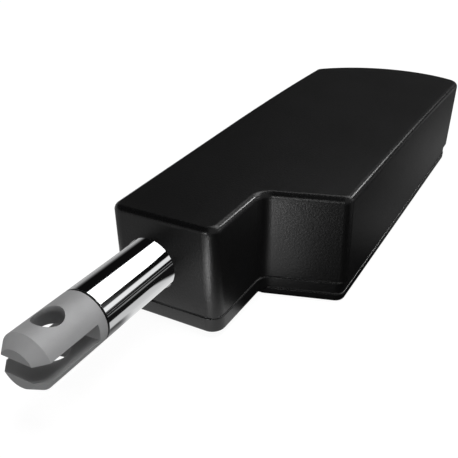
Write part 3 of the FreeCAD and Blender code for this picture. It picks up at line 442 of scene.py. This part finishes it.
def copies(mesh, places, slot, greatest_turn=0.0, seed=0):
    """One mesh of copies, standing at the places."""
    original = bpy.data.objects.new("original", mesh)
    bpy.context.scene.collection.objects.link(original)
    points = bpy.data.meshes.new("places")
    points.from_pydata(places, [], [])
    result = COPIES_TREE.run(points, {
        "Original": original, "Greatest Turn": greatest_turn, "Seed": seed, "Material": FINISHES[slot]})
    bpy.data.objects.remove(original)
    return result


# The rod and its eyes
TUBE_AROUND = 224
TUBE_EDGE = 0.1 * MM
TUBE_EDGE_STEPS = 6
EYE_EDGE = 0.45 * MM


def radii(name):
    """The distances of a node's points from the rod axis."""
    return [math.hypot(vertex.co.y, vertex.co.z) for vertex in nodes[name].data.vertices]


def make_rod():
    """The chromed tube with a broken front edge, and both eyes with tumbled edges."""
    bore = min(radii("piston_tube"))
    turns = [math.radians(90 * step / TUBE_EDGE_STEPS) for step in range(TUBE_EDGE_STEPS + 1)]
    edge = [(rod_high.x - TUBE_EDGE + TUBE_EDGE * math.sin(turn),
             ROD_RADIUS - TUBE_EDGE + TUBE_EDGE * math.cos(turn)) for turn in turns]
    outline = [(rod_low.x, bore), (rod_low.x, ROD_RADIUS), *edge, (rod_high.x, bore)]
    new_piece("chromed_tube", turned("chromed_tube", outline, TUBE_AROUND), "rod", "chrome", "piston_tube")
    new_piece("tumbled_eye", eased("rod_eye", EYE_EDGE), "rod", "eye_metal", "rod_eye")
    new_piece("tumbled_fixture", eased("back_fixture", EYE_EDGE), "housing", "eye_metal", "back_fixture")


# The spindle
SPINDLE_LEAD = 3 * MM
THREAD_DEPTH = 1.5 * MM
THREAD_AROUND = 48
THREAD_RINGS = 10


def make_spindle():
    """The lead screw: its plain rear end, cut off behind the nut, and a trapezoidal thread from there on."""
    slot = slot_of["spindle"]
    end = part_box("spindle")[1].x
    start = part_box("drive_nut")[0].x - SPINDLE_LEAD
    shape = merged_copy("spindle")
    everything = shape.verts[:] + shape.edges[:] + shape.faces[:]
    cut = bmesh.ops.bisect_plane(shape, geom=everything, plane_co=(start, 0, 0), plane_no=(1, 0, 0),
                                 clear_outer=True)
    rim = [e for e in cut["geom_cut"] if isinstance(e, bmesh.types.BMEdge)]
    bmesh.ops.holes_fill(shape, edges=rim)
    shaft = to_mesh("spindle_shaft", shape)
    crest = max(r for r, v in zip(radii("spindle"), nodes["spindle"].data.vertices) if v.co.x > start)
    thread = threaded_rod(slot, end - start, SPINDLE_LEAD, crest - THREAD_DEPTH, crest, THREAD_AROUND,
                          THREAD_RINGS)
    thread.transform(Matrix.Translation((start, 0, 0)) @ AXIS_Z_TO_X)
    mesh = joined("threaded_spindle", shaft, thread)
    new_piece("threaded_spindle", mesh, "spindle_body", slot, "spindle")


# Screws
HEAD_HEIGHT = 2.2 * MM
SHANK_RADIUS = 1.6 * MM
CORE_SHARE = 0.78
SCREW_LEAD = 1.2 * MM
SCREW_AROUND = 24
SCREW_RINGS = 8
HEAD_AROUND = 48
RECESS_LOBES = 6
SCREW_SEED = 3

# A head from its seat over its rim into the recess: shares of its height and radius, and depth of the lobes
HEAD_OUTLINE = ((1, 1, 0), (0.35, 1, 0), (0.12, 0.95, 0), (0, 0.84, 0), (0, 0.53, 0.12), (0.08, 0.48, 0.14),
                (0.7, 0.46, 0.14))


def solids(name):
    """The lowest and highest corner of each separate solid in a node."""
    shape = merged_copy(name)
    waiting = set(shape.verts)
    boxes = []
    while waiting:
        found = [waiting.pop()]
        for vertex in found:
            near = {e.other_vert(vertex) for e in vertex.link_edges} & waiting
            waiting -= near
            found.extend(near)
        boxes.append([Vector([pick(v.co[axis] for v in found) for axis in range(3)]) for pick in (min, max)])
    shape.free()
    return boxes


def lobed_head(radius):
    """A screw head from its face at z = 0 up to its seat, with a six-lobed recess in the face."""
    shape = bmesh.new()
    turns = [2 * math.pi * step / HEAD_AROUND for step in range(HEAD_AROUND)]

    def ring(height, size, lobe):
        reach = [size * (1 + lobe * math.cos(RECESS_LOBES * turn)) for turn in turns]
        return [shape.verts.new((r * math.cos(turn), r * math.sin(turn), height))
                for r, turn in zip(reach, turns)]

    rings = [ring(height * HEAD_HEIGHT, size * radius, lobe) for height, size, lobe in HEAD_OUTLINE]
    shape.faces.new(rings[0])
    shape.faces.new(rings[-1])
    join_rings(shape, rings)
    return to_mesh("lobed_head", shape)


def make_screws(name, piece_name, turn, seed):
    """Replaces a node's plain screws by threaded ones with lobed heads, pointing up before the turn."""
    upright = [[turn.inverted() @ corner for corner in box] for box in solids(name)]
    boxes = [[Vector(map(pick, *box)) for pick in (min, max)] for box in upright]
    low, high = boxes[0]
    slot = slot_of[name]
    shank = threaded_rod(slot, high.z - low.z - HEAD_HEIGHT, SCREW_LEAD, CORE_SHARE * SHANK_RADIUS,
                         SHANK_RADIUS, SCREW_AROUND, SCREW_RINGS)
    shank.transform(Matrix.Translation((0, 0, HEAD_HEIGHT)))
    screw = joined("screw", lobed_head((high.x - low.x) / 2), shank)
    places = [((a.x + b.x) / 2, (a.y + b.y) / 2, a.z) for a, b in boxes]
    mesh = copies(screw, places, slot, 2 * math.pi, seed)
    mesh.transform(turn)
    new_piece(piece_name, mesh, "housing", slot, name)


# Control board. Its parts are placed as shares of the board's length and width, chips with length and width
BOARD_EDGE = 0.2 * MM
CHIPS = ((0.3, 0.42, 9.0 * MM, 6.0 * MM), (0.62, 0.68, 6.0 * MM, 4.4 * MM))
CHIP_HEIGHT = 1.5 * MM
CHIP_LIFT = 0.25 * MM
CHIP_EDGE = 0.12 * MM
CHIP_EDGE_STEPS = 2
ROUND_PROFILE = 0.5
CHIP_DRAFT = 0.94
LEAD_PITCH = 1.27 * MM
LEAD_WIDTH = 0.42 * MM
LEAD_THICK = 0.2 * MM
LEAD_REACH = 2.2 * MM
LEAD_BENDS = (0.35, 0.6)
CAPACITORS = ((0.82, 0.28), (0.82, 0.62))
CAPACITOR_RADIUS = 3.1 * MM
CAPACITOR_HEIGHT = 7.5 * MM
CAPACITOR_AROUND = 48

# A capacitor can with its crimped waist and rounded rim, as shares of its height and radius
CAN_OUTLINE = ((0, 0.2), (0, 0.96), (0.05, 1), (0.12, 1), (0.16, 0.9), (0.2, 1), (0.95, 1), (1, 0.92),
               (1, 0.7), (0.97, 0.66), (0.97, 0.2))


def block(length, width, low, high, edge):
    """A moulded block on the Z axis with rounded edges and a slight draft."""
    shape = bmesh.new()
    bmesh.ops.create_cube(shape, size=1)
    for vertex in shape.verts:
        draft = CHIP_DRAFT if vertex.co.z > 0 else 1.0
        vertex.co.x *= length * draft
        vertex.co.y *= width * draft
        vertex.co.z = high if vertex.co.z > 0 else low
    bmesh.ops.bevel(shape, geom=shape.edges[:], offset=edge, segments=CHIP_EDGE_STEPS, profile=ROUND_PROFILE,
                    affect="EDGES")
    return to_mesh("block", shape)


def bent_lead():
    """A flat lead that leaves a chip, bends down and ends in a foot on the board at z = 0, towards +Y."""
    half, foot = CHIP_LIFT + CHIP_HEIGHT / 2, LEAD_THICK / 2
    first, second = [share * LEAD_REACH for share in LEAD_BENDS]
    path = [(0.0, half), (first, half), (second, foot), (LEAD_REACH, foot)]
    shape = bmesh.new()
    rings = [[shape.verts.new((side * LEAD_WIDTH / 2, y, z + lift * LEAD_THICK / 2))
              for side, lift in ((-1, -1), (1, -1), (1, 1), (-1, 1))] for y, z in path]
    shape.faces.new(rings[0])
    shape.faces.new(rings[-1])
    join_rings(shape, rings)
    return to_mesh("lead", shape)


def can():
    """A capacitor can from z = 0 up."""
    outline = [(height * CAPACITOR_HEIGHT, radius * CAPACITOR_RADIUS) for height, radius in CAN_OUTLINE]
    mesh = turned("can", outline, CAPACITOR_AROUND)
    mesh.transform(AXIS_Z_TO_X.inverted())
    return mesh


def make_board():
    """The board with eased edges, two chips on bent leads and two capacitors."""
    low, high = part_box("control_board")

    def spot(along, across):
        return Vector((low.x + along * (high.x - low.x), low.y + across * (high.y - low.y), high.z))

    new_piece("etched_board", eased("control_board", BOARD_EDGE), "housing", "board", "control_board")
    chips, leads = [], []
    for along, across, length, width in CHIPS:
        place = Matrix.Translation(spot(along, across))
        chip = block(length, width, CHIP_LIFT, CHIP_LIFT + CHIP_HEIGHT, CHIP_EDGE)
        chip.transform(place)
        chips.append(chip)
        count = int(length / LEAD_PITCH)
        row = [((step - (count - 1) / 2) * LEAD_PITCH, width / 2 - 2 * LEAD_THICK, 0)
               for step in range(count)]
        for turn in (0, math.pi):
            side = copies(bent_lead(), row, "zinc_steel")
            side.transform(place @ Matrix.Rotation(turn, 4, "Z"))
            leads.append(side)
    new_piece("board_chips", joined("board_chips", *chips), "housing", "black_nylon")
    new_piece("board_leads", joined("board_leads", *leads), "housing", "zinc_steel")
    places = [tuple(spot(along, across)) for along, across in CAPACITORS]
    new_piece("board_capacitors", copies(can(), places, "aluminium"), "housing", "aluminium")


make_rod()
make_spindle()
make_board()
make_screws("cover_screws", "lobed_cover_screws", Matrix.Identity(4), SCREW_SEED)
make_screws("motor_screws", "lobed_motor_screws", AXIS_Z_TO_X, SCREW_SEED)


# Stage
MIDDLE = Vector((0.15, 0.03, 0.0))
WORLD_SEEN = 0.96
FLOOR_SIZE = 6.0
FLOOR_GAP = 0.2 * MM
FLOOR_SEEN = 0.95
FLOOR_SHADE = 0.1
FLOOR_PLAIN = 0.2

# Brightness of each lamp and of what mirrors see, as radiance
LEVEL = {
    "fill": 0.05,
    "room": 0.006,
    "right_room": 0.3,
    "right_strip": 1.25,
    "left_wall": 0.6,
    # The floor's painted glow, which only mirrors see and no lamp gives
    "floor": 0.01,
    "floor_far": 0.3,
    "floor_beside": 0.12,
    "floor_rear": 0.14,
    "floor_right": 0.3,
    "floor_front": 0.34,
    "floor_nose": 0.85,
    "floor_left": 1.0,
    "floor_left_far": 0.45,
    "ceiling_softbox": 2.8,
    "ceiling_strip": 90.0,
    "left_softbox": 1.5,
    "right_softbox": 10.5,
    "top_softbox": 7.6,
    "front_softbox": 9.5,
    "far_card": 15.0,
    "front_card": 3.5,
}

# Stretches of painted glow on the floor, which only mirrors see, as painted reflections: along and across
# the object, start, end and half a soft edge
GLOW_STRETCHES = {
    "floor_beside": ((-0.3, 0.14, 0.025), (0.055, 0.085, 0.006)),
    "floor_rear": ((-0.3, 0.05, 0.05), (0.055, 0.085, 0.006)),
    "floor_right": ((0.12, 0.19, 0.005), (0.12, 0.2, 0.006)),
    "floor_front": ((0.245, 0.5, 0.004), (-0.3, 0.014, 0.012)),
    "floor_nose": ((0.216, 0.275, 0.004), (0.022, 0.048, 0.003)),
    "floor_left": ((0.1, 0.247, 0.005), (-0.06, 0.022, 0.004)),
    "floor_left_far": ((-0.3, 0.23, 0.02), (-0.6, -0.06, 0.02)),
}
# Where the floor's painted glow for mirrors drops to its dim level
NEAR_ALONG = (-0.22, -0.12)
NEAR_ACROSS = (-0.24, -0.14)

# Pale parts of the room that mirrors see. A turn goes round the object's length and a heading round its
# height, in degrees. A share is how much of a direction points along the length, or up
STRIP_TURN = ((8, 10), (23, 27))
STRIP_SHARE = ((-0.8, -0.74), (-0.35, -0.25))
WALL_TURN = (150, 182)
WALL_SHARE = (-0.72, -0.66)
RIGHT_HEADING = ((15, 35), (110, 130))
RIGHT_SHARE = (0.03, 0.12)

# The two small cards on the floor: place along and across, then height and width
CARD_GAP = 0.1 * MM
CARDS = {"far_card": ((0.278, 0.034), (0.009, 0.024)), "front_card": ((0.273, 0.016), (0.013, 0.016))}
CARD_LIT = ("upper_housing", "lower_cover")


def grey(level):
    """A grey of this brightness."""
    return (level, level, level, 1)


def make_floor():
    """A pale floor. The camera sees it white with a faint shadow. Mirrors see painted glowing stretches and
    dark ones on it, as painted reflections that no lamp lights.
    """
    bpy.ops.mesh.primitive_plane_add(size=FLOOR_SIZE, location=(0, 0, FLOOR_Z - FLOOR_GAP))
    floor = bpy.context.object
    floor.name = "floor"
    material = bpy.data.materials.new("pale_floor")
    material.cycles.emission_sampling = "NONE"
    tree = Tree(material)
    camera = tree.node("ShaderNodeLightPath", out="Is Camera Ray")
    mirror = tree.node("ShaderNodeLightPath", out="Is Glossy Ray")
    place = tree.node("ShaderNodeTexCoord", out="Object")
    along = tree.node("ShaderNodeSeparateXYZ", None, {"Vector": place}, out="X")
    across = tree.node("ShaderNodeSeparateXYZ", None, {"Vector": place}, out="Y")

    def stretch(signal, start, end, soft):
        return signal.within((start - soft, start + soft), (end - soft, end + soft))

    # Painted glow that only mirrors see: a dim level, raised away from the object and in the stretches below
    near = along.between(*NEAR_ALONG) * across.between(*NEAR_ACROSS)
    level = LEVEL["floor"] + LEVEL["floor_far"] * (1 - near)
    for name, (lengthways, sideways) in GLOW_STRETCHES.items():
        level = level + LEVEL[name] * stretch(along, *lengthways) * stretch(across, *sideways)
    plain = tree.node("ShaderNodeBsdfDiffuse", None, {"Color": grey(FLOOR_PLAIN)})
    # Rays other than the camera's see plain diffuse, while mirrors see the painted glow
    painted_glow = tree.node("ShaderNodeEmission", None, {"Color": level})
    lit = tree.node("ShaderNodeMixShader", None, {0: mirror, 1: plain, 2: painted_glow})
    shade = tree.node("ShaderNodeBsdfDiffuse", None, {"Color": grey(FLOOR_SHADE)})
    white = tree.node("ShaderNodeEmission", None, {"Color": grey(FLOOR_SEEN)})
    seen = tree.node("ShaderNodeAddShader", None, {0: shade, 1: white})
    above = tree.node("ShaderNodeMixShader", None, {0: camera, 1: lit, 2: seen})
    below = tree.node("ShaderNodeNewGeometry", out="Backfacing")
    clear = tree.node("ShaderNodeBsdfTransparent")
    surface = tree.node("ShaderNodeMixShader", None, {0: below, 1: above, 2: clear})
    tree.node("ShaderNodeOutputMaterial", None, {"Surface": surface})
    floor.data.materials.append(material)


def make_world():
    """White to the camera, an even fill for matte surfaces, a dim room with pale strips for mirrors."""
    world = bpy.data.worlds.new("studio")
    bpy.context.scene.world = world
    tree = Tree(world)
    camera = tree.node("ShaderNodeLightPath", out="Is Camera Ray")
    mirror = tree.node("ShaderNodeLightPath", out="Is Glossy Ray")
    direction = tree.node("ShaderNodeTexCoord", out="Generated")
    height = tree.node("ShaderNodeSeparateXYZ", None, {"Vector": direction}, out="Z")
    side = tree.node("ShaderNodeSeparateXYZ", None, {"Vector": direction}, out="Y")
    along = tree.node("ShaderNodeSeparateXYZ", None, {"Vector": direction}, out="X")
    turn = height.math("ARCTAN2", height, side) * math.degrees(1)
    heading = side.math("ARCTAN2", side, along) * math.degrees(1)
    strip = turn.within(*STRIP_TURN) * along.within(*STRIP_SHARE)
    wall = turn.between(*WALL_TURN) * along.between(*WALL_SHARE)
    right = heading.within(*RIGHT_HEADING) * height.between(*RIGHT_SHARE)
    room = (LEVEL["room"] + LEVEL["right_room"] * right + LEVEL["right_strip"] * strip
            + LEVEL["left_wall"] * wall)
    fill = tree.node("ShaderNodeBackground", None, {"Color": grey(LEVEL["fill"])})
    dim = tree.node("ShaderNodeBackground", None, {"Color": room})
    seen = tree.node("ShaderNodeBackground", None, {"Color": grey(WORLD_SEEN)})
    lit = tree.node("ShaderNodeMixShader", None, {0: mirror, 1: fill, 2: dim})
    surface = tree.node("ShaderNodeMixShader", None, {0: camera, 1: lit, 2: seen})
    tree.node("ShaderNodeOutputWorld", None, {"Surface": surface})


def add_lamp(name, place, size, matte=False, gloss=True):
    """A soft rectangular lamp facing down, that lights matte surfaces, gloss or both."""
    lamp = bpy.data.lights.new(name, "AREA")
    lamp.shape = "RECTANGLE"
    lamp.size, lamp.size_y = size
    lamp.energy = math.pi * size[0] * size[1] * LEVEL[name]
    thing = bpy.data.objects.new(name, lamp)
    thing.location = place
    thing.visible_camera = False
    thing.visible_diffuse = matte
    thing.visible_glossy = gloss
    bpy.context.scene.collection.objects.link(thing)
    return thing


def face_middle(lamp):
    """Turns a lamp to the middle of the object."""
    lamp.rotation_euler = (MIDDLE - lamp.location).to_track_quat("-Z", "Y").to_euler()


def face_back(lamp):
    """Stands a lamp upright, facing along -X, with its first size as the height."""
    lamp.rotation_euler = (0, math.pi / 2, 0)


def light_only(lamp, names):
    """Keeps a lamp's light to these nodes, so that the rod doesn't mirror it."""
    lit = bpy.data.collections.new(lamp.name + "_lit")
    for name in names:
        lit.objects.link(nodes[name])
    lamp.light_linking.receiver_collection = lit


def make_lamps():
    """Softboxes round the object, and two small cards on the floor in front that light the housing alone."""
    add_lamp("ceiling_softbox", (-1.675, 0.975, 2.5), (1.45, 3.55))
    face_middle(add_lamp("ceiling_strip", (-4.15, 1.93, 2.5), (0.45, 0.3)))
    face_middle(add_lamp("left_softbox", (0.25, -1.37, 1.2), (1.0, 1.0), matte=True, gloss=False))
    face_middle(add_lamp("right_softbox", (0.45, 1.6, 0.12), (1.0, 0.4), matte=True, gloss=False))
    face_middle(add_lamp("top_softbox", (0.0, 0.25, 1.6), (1.0, 1.0), matte=True, gloss=False))
    face_middle(add_lamp("front_softbox", (1.55, 0.03, 0.2), (0.4, 0.35), matte=True))
    for name, ((along, across), size) in CARDS.items():
        card = add_lamp(name, (along, across, FLOOR_Z + CARD_GAP + size[0] / 2), size)
        face_back(card)
        light_only(card, CARD_LIT)


CAMERA_PLACE = (0.394346, 0.125596, 0.123146)
CAMERA_TURN = (61.2904, 1.1681, 119.6633)
CAMERA_LENS = 51.386
CAMERA_SENSOR = 36
CAMERA_NEAR = 5 * MM


def make_camera():
    """The photograph's view. Its turn is in degrees, its lens and sensor in millimetres."""
    camera = bpy.data.objects.new("camera", bpy.data.cameras.new("camera"))
    camera.data.lens = CAMERA_LENS
    camera.data.sensor_width = CAMERA_SENSOR
    camera.data.clip_start = CAMERA_NEAR
    camera.location = CAMERA_PLACE
    camera.rotation_euler = Euler([math.radians(a) for a in CAMERA_TURN])
    bpy.context.scene.collection.objects.link(camera)
    bpy.context.scene.camera = camera


make_floor()
make_world()
make_lamps()
make_camera()
bpy.context.scene.view_settings.view_transform = "Standard"
